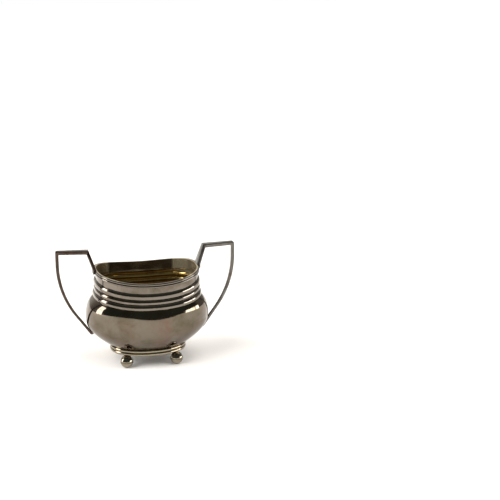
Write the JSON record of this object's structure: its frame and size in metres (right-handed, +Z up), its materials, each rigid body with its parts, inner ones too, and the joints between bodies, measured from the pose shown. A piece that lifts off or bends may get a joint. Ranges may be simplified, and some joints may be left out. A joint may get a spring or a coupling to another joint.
{
  "type": "sugar bowl",
  "caption": "Oblong silver sugar bowl with a bombe belly, reeded neck, saddle-shaped rim, angular strap handles and ball feet.",
  "frame": {"origin": "on the surface the bowl stands on, straight under the middle of the bowl", "axes": "+Z up, +X along the bowl towards one handle, +Y across it"},
  "size_m": [0.1402, 0.0774, 0.0918],
  "materials": {
    "silver_body": "polished",
    "silver_wire": "polished",
    "silver_handle": "satin",
    "silver_ball": "polished"
  },
  "bodies": {
    "root": {"ball_back_left_lower": "silver_ball", "ball_back_left_upper": "silver_ball", "ball_back_right_lower": "silver_ball", "ball_back_right_upper": "silver_ball", "ball_front_left_lower": "silver_ball", "ball_front_left_upper": "silver_ball", "ball_front_right_lower": "silver_ball", "ball_front_right_upper": "silver_ball", "belly": "silver_body", "foot_collet": "silver_wire", "foot_wire": "silver_wire", "handle_left_arm": "silver_handle", "handle_left_bar": "silver_handle", "handle_left_riser": "silver_handle", "handle_right_arm": "silver_handle", "handle_right_bar": "silver_handle", "handle_right_riser": "silver_handle", "reeded_neck": "silver_body", "rim_wire": "silver_wire"}
  },
  "joints": []
}
